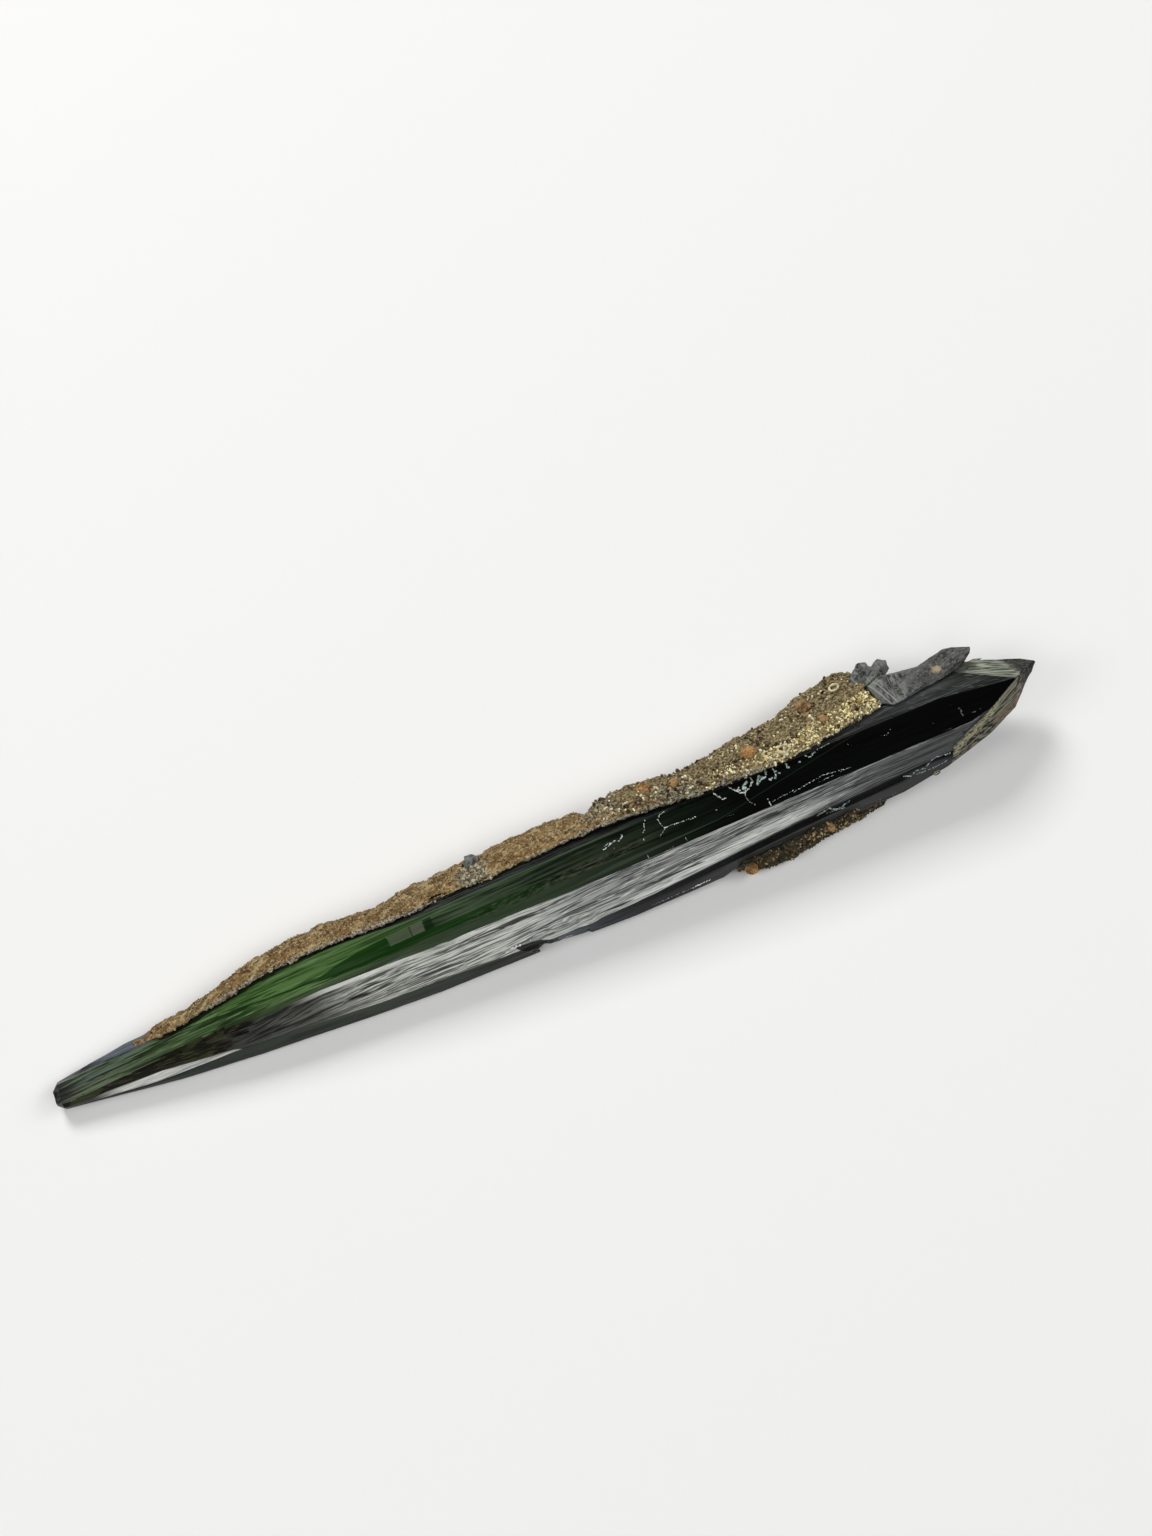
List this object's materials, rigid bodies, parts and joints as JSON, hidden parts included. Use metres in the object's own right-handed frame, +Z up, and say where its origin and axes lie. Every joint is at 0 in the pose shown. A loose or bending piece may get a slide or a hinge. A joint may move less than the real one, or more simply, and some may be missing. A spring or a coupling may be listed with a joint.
{
  "type": "vivianite crystal specimen",
  "caption": "Long dark green blade-shaped crystal lying flat, bevelled to a point, with brown rock crust along its back, rusty nodules and small grey crystals.",
  "frame": {"origin": "middle of the specimen's bounding box, on the surface that it lies on", "axes": "+X along the blade from its thin blunt end to its point, +Y towards the crusted back, +Z up"},
  "size_m": [0.112, 0.0162, 0.0088],
  "materials": {
    "crystal": "glassy to pearly, dark green, streaked along its length",
    "grey_crystal": "dull to silky grey crystal",
    "crust": "rough sandy brown rock",
    "nodule": "dull rusty limonite"
  },
  "bodies": {
    "root": {"main_crystal": "crystal", "side_blade": "grey_crystal", "small_cluster": "grey_crystal", "crust_crystal": "grey_crystal", "back_crust": "crust", "front_crust": "crust", "nodule_saddle": "nodule", "nodule_worn": "nodule", "nodule_bright": "nodule", "nodule_high": "nodule", "nodule_pyrite_side": "nodule", "nodule_front": "nodule", "nodule_front_small": "nodule"}
  },
  "joints": []
}
